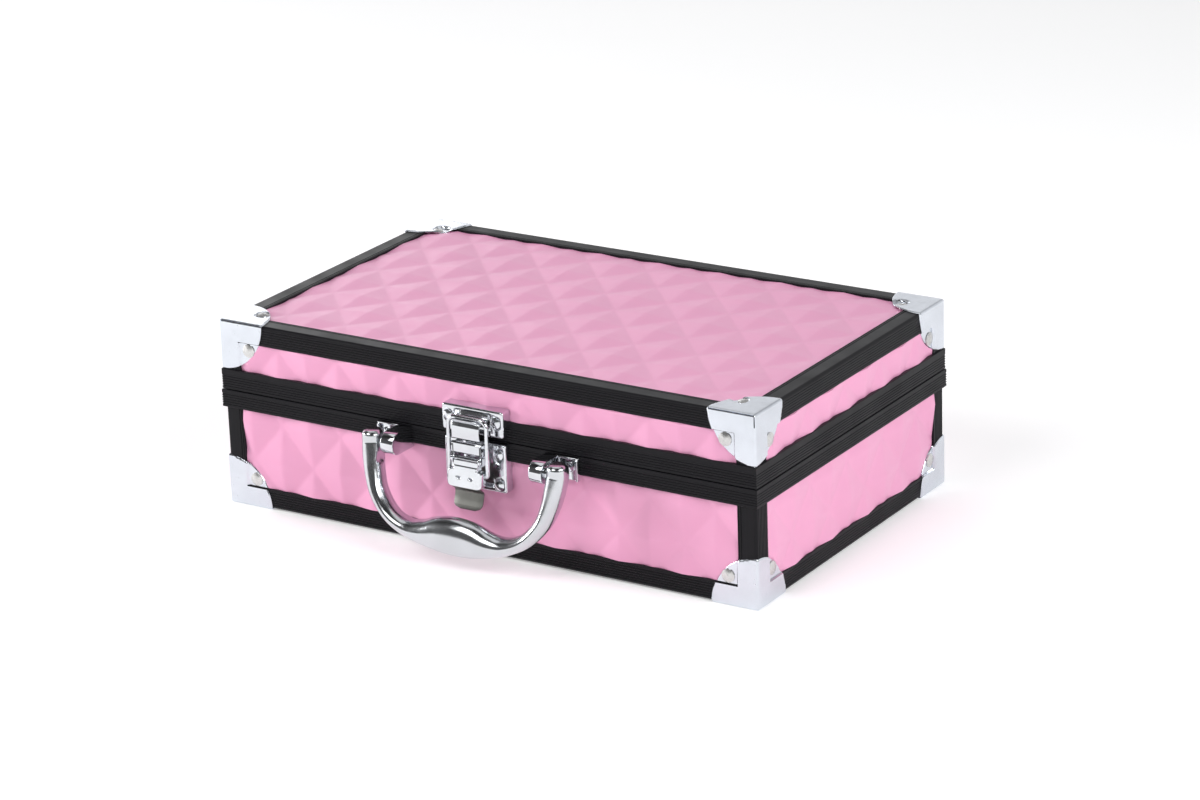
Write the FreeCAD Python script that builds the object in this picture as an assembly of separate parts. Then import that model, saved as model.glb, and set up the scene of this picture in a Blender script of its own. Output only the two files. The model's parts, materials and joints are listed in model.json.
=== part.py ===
import FreeCAD, Part
import math
import os

V = FreeCAD.Vector

# Small hard case with a hinged lid, in millimetres. +X is to the right, +Y to the back, +Z up.
# x and y are from the centre of the whole object, handle and hinges included. Heights here are
# from the undersides of the bottom extrusions; save() lifts the pieces so the caps stand at zero.
width = 270.6             # over the edge extrusions
depth = 165.1
height = 85.2
handle_reach = 27.06      # how far the hanging handle stands out in front of the extrusions
hinge_reach = 5.3         # how far the hinge knuckles stand out behind
case_y = (handle_reach - hinge_reach) / 2
front_y = case_y - depth / 2
back_y = case_y + depth / 2

# Parting line between base and lid
base_top = 53.15
lid_bottom = 53.45
seam_z = (base_top + lid_bottom) / 2

# Sheet, board and extrusion sizes
cap_t = 0.6               # pressed corner cap, outside the extrusions
lip_t = 1.2               # outer leg of the edge extrusions
leg = 9.2                 # width of that leg
nose_r = 1.4              # rounding of the outer edge
board_t = 2.6             # wall boards with their moulded skin
board_in = lip_t          # depth of the boards' faces behind the extrusions' faces
core = 4.9                # solid corner of the edge extrusions
inner_tip = 7.4           # end of the short inner legs
slot_play = 0.1
rivet_end = 3.6           # how far the fittings' rivets reach in behind the extrusions' faces
rivet_hole_end = 4.2
groove_pitch = 1.15
groove_depth = 0.22

# Seam rails
base_rail_low = 45.0
lid_rail_high = 62.8
base_rail_out = 1.05      # how far the rails stand proud of the extrusions
lid_rail_out = 0.7
tongue_high = 55.5
rail_inner_t = 1.2

# Corner caps
cap_r = 22.95             # radius of each lobe about the corner
cap_edge_r = 1.2
pocket = 9.9              # where the riveted flap steps down
slit = 0.6                # slit beside the flap
flap_drop = 1.05
rivet_head_r = 3.05
rivet_head_h = 1.0
rivet_shaft_r = 1.6
rivet_clear = 0.05
cap_rivet_from_slit_side = 13.1
cap_rivet_from_step_side = 14.9

# Lining
lining_in = 5.4
lining_t = 2.0

# Hinges
hinge_x = 80.0
hinge_w = 32.0
knuckles = 5
knuckle_r = 2.0
hinge_pin_r = 0.95
hinge_y = back_y + 3.3
leaf_t = 1.0

# Latch: places are (how far in front of the extrusions, height)
plate_w = 31.1
sheet_t = 0.9
keeper_low = 56.3
keeper_high = 68.1
keeper_out = 5.2
plate_low = 31.1
plate_high = 53.0
plate_out = 4.1
plate_rivet_x = 12.1
keeper_rivet_z = 63.0
plate_rivet_z = (48.3, 34.6)
hook_w = 13.8
ear_x = 7.2
ear_t = 0.8
lever_pivot = (9.6, 46.2)
lever_pin_r = 1.2
lever_neck_w = 12.4
lever_wide_w = 17.4
wire_r = 0.95
wire_x = 9.7
wire_foot = (9.5, 39.7)
wire_head = (9.0, 64.4)
tab_w = 14.5

# Handle and its brackets
lug_in = 34.5
lug_out = 41.0
lug_r = 5.0
handle_pivot = (11.2, 47.9)
handle_pin_r = 2.0
collar_r = 3.0
pan_x = (32.3, 51.0)
pan_z = (42.6, 53.0)
running = 0.05            # radial play of every pin in its hole


def box(x0, x1, y0, y1, z0, z1):
    return Part.makeBox(x1 - x0, y1 - y0, z1 - z0, V(x0, y0, z0))


def rod(start, direction, length, radius):
    return Part.makeCylinder(radius, length, V(*start), V(*direction))


def prism(points, along):
    wire = Part.makePolygon([V(*p) for p in points] + [V(*points[0])])
    return Part.Face(wire).extrude(V(*along))


def out(distance):
    """The y of a place that far in front of the extrusions' front faces."""
    return front_y - distance


def side_prism(outline, half_width):
    """Extrudes an outline of (out, height) places across the case's width."""
    points = [(-half_width, out(d), z) for d, z in outline]
    return prism(points, (2 * half_width, 0, 0))


def mirror_x(shape):
    return shape.mirror(V(0, 0, 0), V(1, 0, 0))


def mirror_y(shape):
    return shape.mirror(V(0, case_y, 0), V(0, 1, 0))


def mirror_z(shape):
    return shape.mirror(V(0, 0, height / 2), V(0, 0, 1))


def save(name, shape):
    if isinstance(shape, list):
        shape = Part.makeCompound(shape)
    shape = shape.copy()
    shape.translate(V(0, 0, cap_t))
    shape.exportStep("parts/" + name + ".step")


# ---- aluminium extrusions -------------------------------------------------------------

def grooves(first, count):
    """Shallow grooves in an extrusion's face, as (depth, place) steps along it."""
    steps = []
    for k in range(count):
        mid = first + k * groove_pitch
        steps += [(0, mid - 0.3), (groove_depth, mid - 0.15), (groove_depth, mid + 0.15), (0, mid + 0.3)]
    return steps


def edge_profile():
    """Section of the edge and post extrusions as (in from the side, in from the end)."""
    inner = lip_t + board_t + slot_play
    side = [(0, nose_r)] + grooves(nose_r + 0.45, 6) + [(0, leg - 0.2), (0.2, leg), (lip_t, leg)]
    slots = [(lip_t, core), (inner, core), (inner, inner_tip), (core, inner_tip), (core, core)]
    slots += [(inner_tip, core), (inner_tip, inner), (core, inner), (core, lip_t)]
    cross = [(leg, lip_t), (leg, 0.2), (leg - 0.2, 0)]
    cross += [(place, sunk) for sunk, place in reversed(grooves(leg - 1.9, 2))]
    return side + slots + cross + [(nose_r, 0)]


def edge_face(to_point):
    """Face of the edge profile, placed by to_point, with the rounded nose as an arc."""
    points = [to_point(a, b) for a, b in edge_profile()]
    straight = Part.makePolygon(points)
    mid = nose_r * (1 - math.sqrt(0.5))
    nose = Part.Arc(points[-1], to_point(mid, mid), points[0]).toShape()
    return Part.Face(Part.Wire(straight.Edges + [nose]))


def rail_points(low, high, inside):
    """Outer face of a seam rail from its low edge to its high edge, then its inside."""
    return [(0, low + 0.2)] + grooves(low + 1.5, 5) + [(0, high - 0.2), (0.2, high)] + inside + [(0.2, low)]


def base_rail_points():
    slot_out = base_rail_out + board_in - running
    slot_in = slot_out + board_t + slot_play + running
    inner = slot_in + rail_inner_t
    tongue = [(5.0, base_top), (5.0, tongue_high), (6.0, tongue_high), (6.0, base_top)]
    slot = [(inner, base_top), (inner, 46.5), (slot_in, 46.5), (slot_in, 51.9), (slot_out, 51.9)]
    return rail_points(base_rail_low, base_top, tongue + slot + [(slot_out, base_rail_low)])


def lid_rail_points():
    slot_out = lid_rail_out + board_in - running
    slot_in = slot_out + board_t + slot_play + running
    inner = slot_in + rail_inner_t
    slot = [(slot_out, lid_rail_high), (slot_out, 57.1), (slot_in, 57.1), (slot_in, 61.0), (inner, 61.0)]
    groove = [(inner, 56.1), (4.2, 56.1), (4.2, lid_bottom)]
    return rail_points(lid_bottom, lid_rail_high, slot + groove)


def mitre(half_x, half_y, across):
    """Plan of one side of a mitred frame, taller than the case."""
    reach = 14.0
    if across:
        plan = [(-half_x, -half_y), (half_x, -half_y), (half_x - reach, reach - half_y),
                (reach - half_x, reach - half_y)]
    else:
        plan = [(-half_x, -half_y), (reach - half_x, reach - half_y), (reach - half_x, half_y - reach),
                (-half_x, half_y)]
    return prism([(x, case_y + y, -1) for x, y in plan], (0, 0, height + 2))


def frame(name, stand_out, face_at):
    """Four mitred extrusions round the case; face_at places the section's (in, height) points."""
    half_x = width / 2 + stand_out
    half_y = depth / 2 + stand_out
    front = face_at(lambda a, z: V(-half_x, case_y - half_y + a, z)).extrude(V(2 * half_x, 0, 0))
    left = face_at(lambda a, z: V(-half_x + a, case_y - half_y, z)).extrude(V(0, 2 * half_y, 0))
    front = front.common(mitre(half_x, half_y, True))
    left = left.common(mitre(half_x, half_y, False))
    return {name + "_front": front, name + "_back": mirror_y(front),
            name + "_left": left, name + "_right": mirror_x(left)}


def bottom_edges():
    """Bottom edge extrusions, rounded at the upright corners like the posts."""
    parts = frame("bottom_edge", 0, edge_face)
    block = box(-width / 2, width / 2, front_y, back_y, 0, leg)
    block = block.makeFillet(nose_r, [e for e in block.Edges if e.BoundBox.ZLength > leg / 2])
    return {name: shape.common(block) for name, shape in parts.items()}


def seam_rails(name, stand_out, points):
    return frame(name, stand_out, lambda at: Part.Face(Part.makePolygon(
        [at(a, z) for a, z in points + points[:1]])))


def posts(low, high):
    """Four upright corner extrusions."""
    face = edge_face(lambda a, b: V(-width / 2 + a, front_y + b, low))
    post = face.extrude(V(0, 0, high - low))
    return [post, mirror_x(post), mirror_y(post), mirror_x(mirror_y(post))]


# ---- boards and lining ----------------------------------------------------------------

def wall_boards(low, high):
    edge = core + slot_play
    face_x = width / 2 - board_in
    face_y = depth / 2 - board_in
    across = width / 2 - edge
    along = depth / 2 - edge
    front = box(-across, across, case_y - face_y, case_y - face_y + board_t, low, high)
    left = box(-face_x, -face_x + board_t, case_y - along, case_y + along, low, high)
    return {"front": front, "back": mirror_y(front), "left": left, "right": mirror_x(left)}


def floor_board():
    edge = core + slot_play
    return box(edge - width / 2, width / 2 - edge, front_y + edge, back_y - edge, board_in, board_in + board_t)


def lining(low, high):
    """Open tub of soft lining, closed at the bottom."""
    x = width / 2 - lining_in
    y = depth / 2 - lining_in
    tub = box(-x, x, case_y - y, case_y + y, low, high)
    x -= lining_t
    y -= lining_t
    return tub.cut(box(-x, x, case_y - y, case_y + y, low + lining_t, high + 1))


# ---- corner caps and their rivets -----------------------------------------------------

def cap_sheet():
    """Pressed cap in its own octant, corner at the origin, with a ball-rounded corner."""
    size = cap_r + 3
    outer = Part.makeBox(size, size, size)
    edges = [e for e in outer.Edges if e.BoundBox.XMin + e.BoundBox.YMin + e.BoundBox.ZMin < 0.1
             and abs(e.BoundBox.DiagonalLength - size) < 0.1]
    outer = outer.makeFillet(cap_edge_r, edges)
    inner = Part.makeBox(size, size, size, V(cap_t, cap_t, cap_t))
    edges = [e for e in inner.Edges if e.BoundBox.XMin + e.BoundBox.YMin + e.BoundBox.ZMin < 3 * cap_t + 0.1
             and abs(e.BoundBox.DiagonalLength - size) < 0.1]
    inner = inner.makeFillet(cap_edge_r - cap_t, edges)
    return outer.cut(inner).common(Part.makeSphere(cap_r))


def flap():
    """Riveted flap on the face z = 0 of that octant, stepped down to the board."""
    plate = box(pocket, cap_r, pocket, cap_r, flap_drop, flap_drop + cap_t)
    step = box(pocket, cap_r, pocket, pocket + cap_t, 0, flap_drop + cap_t)
    round_edge = Part.makeCylinder(cap_r, 10, V(0, 0, -1))
    shape = plate.fuse(step).common(round_edge)
    return shape.removeSplitter()


def turned(shape, times):
    """Turns a shape about the octant's diagonal, which carries each face onto the next."""
    turned_shape = shape.copy()
    turned_shape.rotate(V(0, 0, 0), V(1, 1, 1), 120 * times)
    return turned_shape


def corner_cap():
    cap = cap_sheet()
    for times in range(3):
        cap = cap.cut(turned(box(pocket - slit, cap_r + 3, pocket, cap_r + 3, -1, cap_t), times))
    for times in range(3):
        cap = cap.fuse(turned(flap(), times))
    for times in range(3):
        hole = rod((cap_rivet_from_slit_side, cap_rivet_from_step_side, -1), (0, 0, 1), 8, rivet_shaft_r + rivet_clear)
        cap = cap.cut(turned(hole, times))
    return cap.removeSplitter()


def dome_rivet(place, direction, head_r, head_h, shaft_r, shaft_len):
    """Rivet whose head sits on place and whose shaft runs along direction."""
    dome_r = (head_r ** 2 + head_h ** 2) / (2 * head_h)
    rim = head_h * 0.35
    crown = V(0, 0, -head_h)
    mid = V(head_r * 0.55, 0, -math.sqrt(dome_r ** 2 - (head_r * 0.55) ** 2) + dome_r - head_h)
    edge = V(head_r, 0, -rim)
    arc = Part.Arc(crown, mid, edge).toShape()
    line = Part.makePolygon([edge, V(head_r, 0, 0), V(shaft_r, 0, 0), V(shaft_r, 0, shaft_len),
                             V(0, 0, shaft_len), crown])
    shape = Part.Face(Part.Wire([arc] + line.Edges)).revolve(V(0, 0, 0), V(0, 0, 1), 360)
    turn = FreeCAD.Rotation(V(0, 0, 1), V(*direction))
    shape.Placement = FreeCAD.Placement(V(*place), turn)
    return shape


def cap_rivets():
    one = dome_rivet((cap_rivet_from_slit_side, cap_rivet_from_step_side, flap_drop), (0, 0, 1),
                     rivet_head_r, rivet_head_h, rivet_shaft_r, 3.4)
    return [turned(one, times) for times in range(3)]


def to_corner(shape, right, back, top):
    """Moves a shape from its octant to one of the eight corners."""
    moved = shape.copy()
    moved.translate(V(-width / 2 - cap_t, front_y - cap_t, -cap_t))
    if right:
        moved = mirror_x(moved)
    if back:
        moved = mirror_y(moved)
    if top:
        moved = mirror_z(moved)
    return moved


# ---- hinges ---------------------------------------------------------------------------

def hinge_leaf(rail_out, low, high, mine, near):
    """Leaf on a rail's back face, with every other knuckle; near is its knuckle end."""
    y = back_y + rail_out
    x0 = hinge_x - hinge_w / 2
    leaf = box(x0, x0 + hinge_w, y, y + leaf_t, low, high)
    step = hinge_w / knuckles
    for k in range(knuckles):
        start = x0 + k * step + 0.1
        length = step - 0.2
        if k % 2 == mine:
            barrel = rod((start, hinge_y, seam_z), (1, 0, 0), length, knuckle_r)
            tail = box(start, start + length, y, y + leaf_t, min(near, seam_z), max(near, seam_z))
            tail = tail.cut(box(start, start + length, y, y + leaf_t, seam_z - 0.5, seam_z + 0.5))
            leaf = leaf.fuse([barrel, tail])
    bore = rod((x0 - 1, hinge_y, seam_z), (1, 0, 0), hinge_w + 2, hinge_pin_r + running)
    return leaf.cut(bore).removeSplitter()


def hinge_pin():
    x0 = hinge_x - hinge_w / 2
    shaft = rod((x0 - 0.1, hinge_y, seam_z), (1, 0, 0), hinge_w + 0.2, hinge_pin_r)
    heads = [rod((x, hinge_y, seam_z), (1, 0, 0), 0.5, 1.5) for x in (x0 - 0.6, x0 + hinge_w + 0.1)]
    return shaft.fuse(heads)


def hinge_rivets(rail_out, z):
    y = back_y + rail_out + leaf_t
    shaft = rail_out + leaf_t + rivet_end
    one_side = [dome_rivet((hinge_x + x, y, z), (0, -1, 0), 2.2, 0.9, 1.2, shaft) for x in (-11, 0, 11)]
    return one_side + [mirror_x(r) for r in one_side]


def hinge_holes(z):
    deep = 3 + rivet_hole_end
    holes = [rod((hinge_x + x, back_y + 3, z), (0, -1, 0), deep, 1.2 + rivet_clear) for x in (-11, 0, 11)]
    return holes + [mirror_x(h) for h in holes]


# ---- latch ----------------------------------------------------------------------------

def pressed_pan(low, high, face_out, rail_out, rail_edge_low, rail_edge_high):
    """Shallow pressed box standing on the wall, cut back where it crosses a seam rail."""
    half = plate_w / 2
    block = box(-half, half, out(face_out), out(-0.6), low, high)
    upright = [e for e in block.Edges if abs(e.BoundBox.ZLength - (high - low)) < 0.01
               and e.BoundBox.YMin < out(face_out) + 0.1]
    block = block.makeFillet(1.0, upright)
    hollow = box(sheet_t - half, half - sheet_t, out(face_out - sheet_t), out(-1), low + sheet_t, high - sheet_t)
    rail = box(-half - 1, half + 1, out(rail_out + 0.03), out(-2), rail_edge_low, rail_edge_high)
    return block.cut([hollow, rail])


def latch_rivet(x, z, face_out):
    return dome_rivet((x, out(face_out), z), (0, 1, 0), 2.3, 0.95, 1.3, face_out + rivet_end)


def latch_hole(x, z):
    return rod((x, out(6), z), (0, 1, 0), 6 + rivet_hole_end, 1.3 + rivet_clear)


def keeper():
    """Keeper on the lid: pressed pan with a raised hook that the wire loop catches."""
    pan = pressed_pan(keeper_low, keeper_high, keeper_out, lid_rail_out, 50, lid_rail_high + 0.05)
    pan = pan.cut(box(-plate_w, plate_w, out(keeper_out - sheet_t), out(-2), 50, keeper_low + sheet_t))
    hook = side_prism([(keeper_out - 0.1, 62.55), (10.0, 62.55), (10.0, 55.7), (10.8, 55.7), (10.8, 63.0),
                       (11.5, 63.9), (10.9, 64.15), (10.1, 63.35), (keeper_out - 0.1, 63.35)], hook_w / 2)
    holes = [latch_hole(x, keeper_rivet_z) for x in (-plate_rivet_x, plate_rivet_x)]
    return pan.fuse(hook).cut(holes).removeSplitter()


def latch_base():
    """Base of the latch: pressed pan with two ears and the bridge that joins them."""
    pan = pressed_pan(plate_low, plate_high, plate_out, base_rail_out, base_rail_low - 0.05, 60)
    y, z = lever_pivot
    ear = box(ear_x - ear_t, ear_x, out(y), out(plate_out - 0.3), z - 2.3, 53.4)
    ear = ear.fuse([box(ear_x - ear_t, ear_x, out(10.6), out(y - 1), 48.9, 53.4),
                    rod((ear_x - ear_t, out(y), z), (1, 0, 0), ear_t, 2.3)])
    bridge = box(-ear_x, ear_x, out(10.6), out(9.8), 48.9, 53.4)
    shape = pan.fuse([ear, mirror_x(ear), bridge])
    bore = rod((-ear_x - 1, out(y), z), (1, 0, 0), 2 * ear_x + 2, lever_pin_r + running)
    holes = [latch_hole(x, z) for x in (-plate_rivet_x, plate_rivet_x) for z in plate_rivet_z]
    return shape.cut([bore] + holes).removeSplitter()


def lever_pin():
    y, z = lever_pivot
    shaft = rod((-ear_x - 0.1, out(y), z), (1, 0, 0), 2 * ear_x + 0.2, lever_pin_r)
    heads = [rod((x, out(y), z), (1, 0, 0), 0.6, 1.8) for x in (-ear_x - 0.65, ear_x + 0.05)]
    return shaft.fuse(heads)


def lever():
    """Lever: narrow neck between the ears, wide channel below that holds the wire's feet."""
    y, z = lever_pivot
    t = ear_t
    face = side_prism([(11.0, 45.9), (11.8, 45.9), (12.1, 43.6), (13.7, 34.8), (12.9, 34.8), (11.3, 43.6)],
                      lever_neck_w / 2)
    wide = side_prism([(11.55, 42.2), (12.35, 42.2), (13.7, 34.8), (12.9, 34.8)], lever_wide_w / 2)
    x = lever_neck_w / 2
    neck_side = prism([(x - t, out(a), b) for a, b in ((9.0, 44.4), (9.0, 41.0), (12.3, 41.0), (11.9, 43.6),
                                                       (11.4, 45.9), (9.6, 46.0))], (t, 0, 0))
    neck_side = neck_side.fuse(rod((x - t, out(y), z), (1, 0, 0), t, 2.0))
    w = lever_wide_w / 2
    wide_side = prism([(w - t, out(a), b) for a, b in ((8.0, 38.0), (8.0, 41.2), (9.0, 42.2), (12.3, 42.2),
                                                       (13.65, 34.8), (11.2, 34.8))], (t, 0, 0))
    shoulder = prism([(x - t, out(a), b) for a, b in ((11.4, 42.2), (12.2, 42.2), (12.3, 41.4), (11.5, 41.4))],
                     (w - x + t, 0, 0))
    shape = face.fuse([wide, neck_side, mirror_x(neck_side), wide_side, mirror_x(wide_side),
                       shoulder, mirror_x(shoulder)])
    bore = rod((-20, out(y), z), (1, 0, 0), 40, lever_pin_r + running)
    feet = rod((-20, out(wire_foot[0]), wire_foot[1]), (1, 0, 0), 40, wire_r + running)
    return shape.cut([bore, feet]).removeSplitter()


def finger_tab():
    """Thin leaf held behind the lever's face and flared out below it."""
    leaf = side_prism([(11.75, 39.5), (12.35, 36.2), (12.35, 34.4), (9.3, 31.6), (11.3, 24.0), (11.9, 24.15),
                       (9.95, 31.4), (12.9, 34.1), (12.85, 34.7), (12.86, 34.8), (12.0, 39.5)], tab_w / 2)
    r = 3.5
    corner = box(tab_w / 2 - r, tab_w / 2 + 1, out(16), out(0), 23, 24 + r)
    corner = corner.cut(rod((tab_w / 2 - r, out(0), 24 + r), (0, -1, 0), 20, r))
    return leaf.cut([corner, mirror_x(corner)])


def wire_loop():
    """Bent wire loop: feet turned into the lever, two legs and a round-cornered top bar."""
    def at(x, t):
        a = wire_foot[0] + (wire_head[0] - wire_foot[0]) * t
        b = wire_foot[1] + (wire_head[1] - wire_foot[1]) * t
        return V(x, out(a), b)
    length = math.hypot(wire_head[0] - wire_foot[0], wire_head[1] - wire_foot[1])
    foot_r = 1.0 / length
    head_r = 3.4 / length
    bow = 1 - math.sqrt(0.5)
    x = wire_x
    right = [Part.LineSegment(at(7.5, 0), at(x - 1.0, 0)),
             Part.Arc(at(x - 1.0, 0), at(x - bow, foot_r * bow), at(x, foot_r)),
             Part.LineSegment(at(x, foot_r), at(x, 1 - head_r)),
             Part.Arc(at(x, 1 - head_r), at(x - 3.4 * bow, 1 - head_r * bow), at(x - 3.4, 1))]
    left = [Part.Arc(at(3.4 - x, 1), at(3.4 * bow - x, 1 - head_r * bow), at(-x, 1 - head_r)),
            Part.LineSegment(at(-x, 1 - head_r), at(-x, foot_r)),
            Part.Arc(at(-x, foot_r), at(bow - x, foot_r * bow), at(1.0 - x, 0)),
            Part.LineSegment(at(1.0 - x, 0), at(-7.5, 0))]
    bar = Part.LineSegment(at(x - 3.4, 1), at(3.4 - x, 1))
    path = Part.Wire([e.toShape() for e in right + [bar] + left])
    ring = Part.Wire(Part.makeCircle(wire_r, at(7.5, 0), V(1, 0, 0)))
    return path.makePipeShell([ring], True, False)


# ---- handle ---------------------------------------------------------------------------

def bracket():
    """Handle bracket on the right: a thick round-nosed lug on a thin plate with a turned-up rim."""
    y, z = handle_pivot
    lug = box(lug_in, lug_out, out(y), out(0.2), z - lug_r, z + lug_r)
    lug = lug.fuse(rod((lug_in, out(y), z), (1, 0, 0), lug_out - lug_in, lug_r))
    plate = box(pan_x[0], pan_x[1], out(2.0), out(1.1), pan_z[0], pan_z[1])
    rim = box(pan_x[1] - 0.9, pan_x[1], out(3.6), out(1.1), pan_z[0], pan_z[1])
    top = box(lug_out - 1, pan_x[1], out(3.2), out(1.1), pan_z[1] - 0.9, pan_z[1])
    low = box(pan_x[0] + 1, pan_x[1] - 1, out(1.9), out(-0.6), pan_z[0], base_rail_low - 0.05)
    shape = lug.cut(box(30, 55, out(1.1), back_y, base_rail_low - 0.05, 60)).fuse([plate, rim, top, low])
    bore = rod((lug_in - 1, out(y), z), (1, 0, 0), 30, handle_pin_r + running)
    holes = [rod((46.8, out(5), 48.4), (0, 1, 0), 5 + rivet_hole_end, 1.3 + rivet_clear)]
    return shape.cut([bore] + holes).removeSplitter()


def handle_stations():
    """Middle line of the handle's right half: (x, z, breadth in its plane, thickness)."""
    return [(47.1, 52.7, 4.6, 4.6), (47.1, 52.2, 7.2, 7.4), (47.1, 50.6, 8.8, 9.4), (47.0, 47.9, 9.3, 10.0),
            (46.3, 42.3, 9.3, 10.4), (44.8, 34.8, 8.3, 10.5), (41.5, 26.6, 7.1, 10.5), (34.5, 19.0, 6.4, 10.5),
            (25.5, 14.9, 7.6, 10.8), (16.7, 14.0, 11.6, 11.6), (8.3, 14.5, 16.1, 12.4), (0.0, 14.7, 17.5, 12.8)]


def handle_out(z):
    """How far in front of the extrusions the handle's middle line hangs at a height."""
    t = max(0.0, (handle_pivot[1] - z) / 37.0)
    return 12.3 + 7.2 * t + 2.1 * t * t


def handle():
    """Cast handle: an oval section lofted round its middle line, thickest at the grip."""
    half = handle_stations()
    line = half + [(-x, z, b, t) for x, z, b, t in reversed(half[:-1])]
    places = [V(x, out(handle_out(z)), z) for x, z, b, t in line]
    wires = []
    for k, (x, z, breadth, thick) in enumerate(line):
        ahead = places[min(k + 1, len(line) - 1)] - places[max(k - 1, 0)]
        ahead.normalize()
        thick_way = V(0, 1, 0) - ahead * ahead.y
        thick_way.normalize()
        broad_way = ahead.cross(thick_way)
        ring = [places[k] + broad_way * (breadth / 2 * math.cos(a)) + thick_way * (thick / 2 * math.sin(a))
                for a in [math.pi / 6 * n for n in range(12)]]
        curve = Part.BSplineCurve()
        curve.interpolate(Points=ring, PeriodicFlag=True)
        wires.append(Part.Wire(curve.toShape()))
    body = Part.makeLoft(wires, True, False)
    y, z = handle_pivot
    bores = [rod((s * 40, out(y), z), (s, 0, 0), 8.6, handle_pin_r + running) for s in (-1, 1)]
    faces = [box(*sorted((s * 40, s * 42.6)), out(30), out(0), 44, 56) for s in (-1, 1)]
    return body.cut(bores + faces)


def handle_pin():
    y, z = handle_pivot
    shaft = rod((lug_in + 0.6, out(y), z), (1, 0, 0), 48.4 - lug_in - 0.6, handle_pin_r)
    collar = rod((lug_out + 0.05, out(y), z), (1, 0, 0), 1.4, collar_r)
    return shaft.fuse(collar)


def bracket_rivet():
    return dome_rivet((46.8, out(2.0), 48.4), (0, 1, 0), 2.2, 0.9, 1.3, 2.0 + rivet_end)


def build_base():
    rail_holes = [latch_hole(x, plate_rivet_z[0]) for x in (-plate_rivet_x, plate_rivet_x)]
    wall_holes = [latch_hole(x, plate_rivet_z[1]) for x in (-plate_rivet_x, plate_rivet_x)]
    bracket_hole = rod((46.8, out(5), 48.4), (0, 1, 0), 5 + rivet_hole_end, 1.3 + rivet_clear)
    rail_holes += [bracket_hole, mirror_x(bracket_hole)]
    rivets = []
    for right in (False, True):
        for back in (False, True):
            name = "corner_base_" + ("back" if back else "front") + ("_right" if right else "_left")
            save(name, to_corner(corner_cap(), right, back, False))
            rivets += [to_corner(r, right, back, False) for r in cap_rivets()]
    save("corner_rivets_base", rivets)
    cap_holes = [clearance(r) for r in rivets]
    save("floor_panel", floor_board().cut(cap_holes))
    for side, board in wall_boards(core + slot_play, 51.8).items():
        save("base_panel_" + side, board.cut(cap_holes + wall_holes + rail_holes + hinge_holes(48.8)))
    for name, shape in bottom_edges().items():
        save(name, shape)
    save("base_posts", posts(leg + 0.05, base_rail_low - 0.05))
    rails = seam_rails("base_rail", base_rail_out, base_rail_points())
    rails["base_rail_front"] = rails["base_rail_front"].cut(rail_holes)
    rails["base_rail_back"] = rails["base_rail_back"].cut(hinge_holes(48.8))
    for name, shape in rails.items():
        save(name, shape)
    save("base_lining", lining(core + 0.1, 52.4))


def clearance(rivet):
    """Straight hole round a cap rivet's shaft."""
    box_size = rivet.BoundBox
    centre = box_size.Center
    lengths = (box_size.XLength, box_size.YLength, box_size.ZLength)
    axis = lengths.index(min(lengths))
    way = [0, 0, 0]
    way[axis] = 1
    start = [centre.x, centre.y, centre.z]
    start[axis] -= 6
    return rod(start, way, 12, rivet_shaft_r + rivet_clear)


def build_lid():
    hole_pair = [latch_hole(x, keeper_rivet_z) for x in (-plate_rivet_x, plate_rivet_x)]
    rivets = []
    for right in (False, True):
        for back in (False, True):
            name = "corner_lid_" + ("back" if back else "front") + ("_right" if right else "_left")
            save(name, to_corner(corner_cap(), right, back, True))
            rivets += [to_corner(r, right, back, True) for r in cap_rivets()]
    save("corner_rivets_lid", rivets)
    cap_holes = [clearance(r) for r in rivets]
    save("lid_panel_top", mirror_z(floor_board()).cut(cap_holes))
    for side, board in wall_boards(57.2, height - core - slot_play).items():
        save("lid_panel_" + side, board.cut(cap_holes + hole_pair + hinge_holes(59.0)))
    for name, shape in bottom_edges().items():
        save(name.replace("bottom", "top"), mirror_z(shape))
    save("lid_posts", posts(lid_rail_high + 0.05, height - leg - 0.05))
    rails = seam_rails("lid_rail", lid_rail_out, lid_rail_points())
    rails["lid_rail_front"] = rails["lid_rail_front"].cut(hole_pair)
    rails["lid_rail_back"] = rails["lid_rail_back"].cut(hinge_holes(59.0))
    for name, shape in rails.items():
        save(name, shape)
    save("lid_lining", mirror_z(lining(core + 0.1, height - 54.6)))


def build_hinges():
    holes = hinge_holes(48.8) + hinge_holes(59.0)
    base_leaf = hinge_leaf(base_rail_out, base_rail_low + 0.6, seam_z - 2.0, 0, seam_z - 2.0).cut(holes)
    lid_leaf = hinge_leaf(lid_rail_out, seam_z + 1.8, lid_rail_high - 0.6, 1, seam_z + 1.8).cut(holes)
    save("hinge_base_leaves", [base_leaf, mirror_x(base_leaf)])
    save("hinge_lid_leaves", [lid_leaf, mirror_x(lid_leaf)])
    save("hinge_pins", [hinge_pin(), mirror_x(hinge_pin())])
    save("hinge_base_rivets", hinge_rivets(base_rail_out, 48.8))
    save("hinge_lid_rivets", hinge_rivets(lid_rail_out, 59.0))


def build_latch():
    save("keeper", keeper())
    save("keeper_rivets", [latch_rivet(x, keeper_rivet_z, keeper_out)
                           for x in (-plate_rivet_x, plate_rivet_x)])
    save("latch_base", latch_base())
    save("latch_rivets", [latch_rivet(x, z, plate_out)
                          for x in (-plate_rivet_x, plate_rivet_x) for z in plate_rivet_z])
    save("latch_lever", lever())
    save("lever_pivot_pin", lever_pin())
    save("finger_tab", finger_tab())
    save("latch_wire_loop", wire_loop())


def build_handle():
    save("handle_bracket_right", bracket())
    save("handle_bracket_left", mirror_x(bracket()))
    save("bracket_rivets", [bracket_rivet(), mirror_x(bracket_rivet())])
    save("handle_pins", [handle_pin(), mirror_x(handle_pin())])
    save("handle", handle())


os.makedirs("parts", exist_ok=True)
build_base()
build_lid()
build_hinges()
build_latch()
build_handle()
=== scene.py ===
import json
import math

import bpy
from mathutils import Matrix, Vector


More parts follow.
